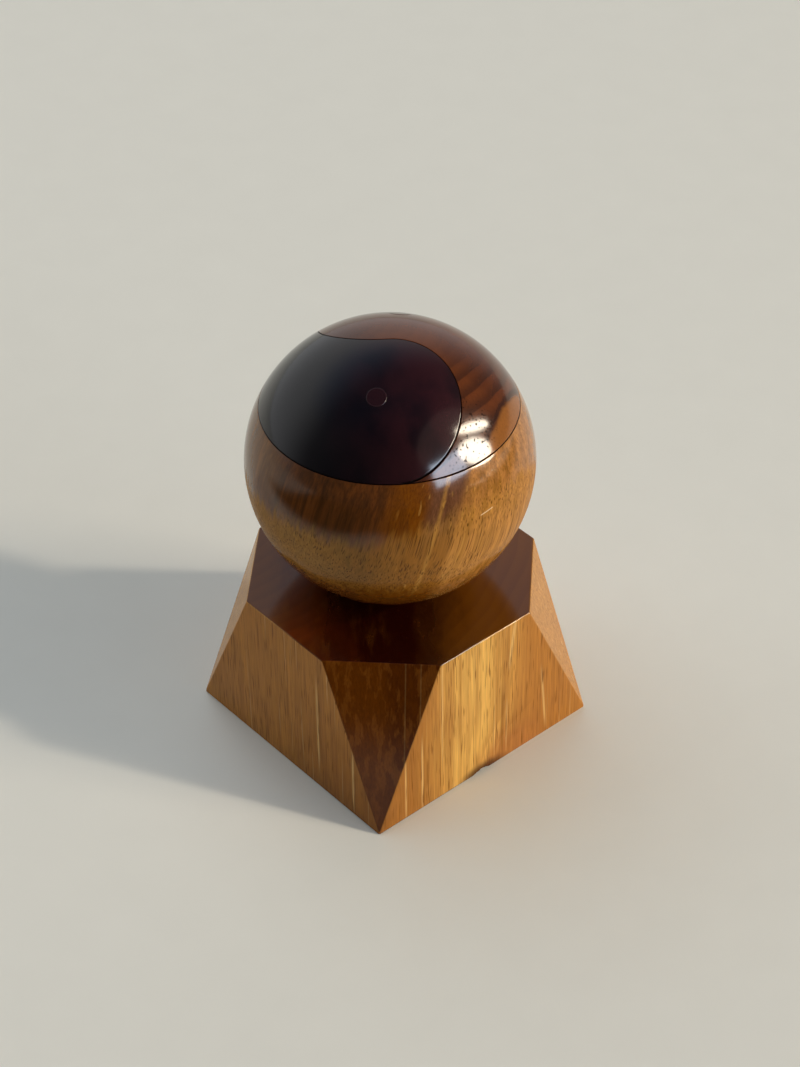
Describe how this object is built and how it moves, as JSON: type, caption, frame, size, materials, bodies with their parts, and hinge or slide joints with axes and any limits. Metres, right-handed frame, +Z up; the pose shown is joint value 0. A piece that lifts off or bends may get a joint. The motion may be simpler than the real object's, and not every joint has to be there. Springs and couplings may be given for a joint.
{
  "type": "decorative sphere",
  "caption": "Turned wooden ball whose cap is parted by an S-shaped seam into a dark and a brown half, standing on a faceted wooden block, square at the foot and octagonal on top.",
  "frame": {"origin": "middle of the block's foot, on the surface that the ornament stands on", "axes": "+Z up along the sphere's upright axis; +X and +Y square out of two neighbouring upright sides of the block"},
  "size_m": [0.1026, 0.1026, 0.1661],
  "materials": {
    "block_wood": "satin clear finish over golden-brown wood with upright grain",
    "bowl_wood": "glossy clear lacquer over warm brown wood with upright grain",
    "dark_cap_wood": "glossy clear lacquer over near-black, faintly purple wood",
    "brown_cap_wood": "glossy clear lacquer over red-brown wood with arched dark bands"
  },
  "bodies": {
    "root": {"faceted_block": "block_wood", "sphere_bowl": "bowl_wood", "dark_cap_half": "dark_cap_wood", "dark_plug": "dark_cap_wood", "brown_cap_half": "brown_cap_wood", "brown_plug": "brown_cap_wood"}
  },
  "joints": []
}
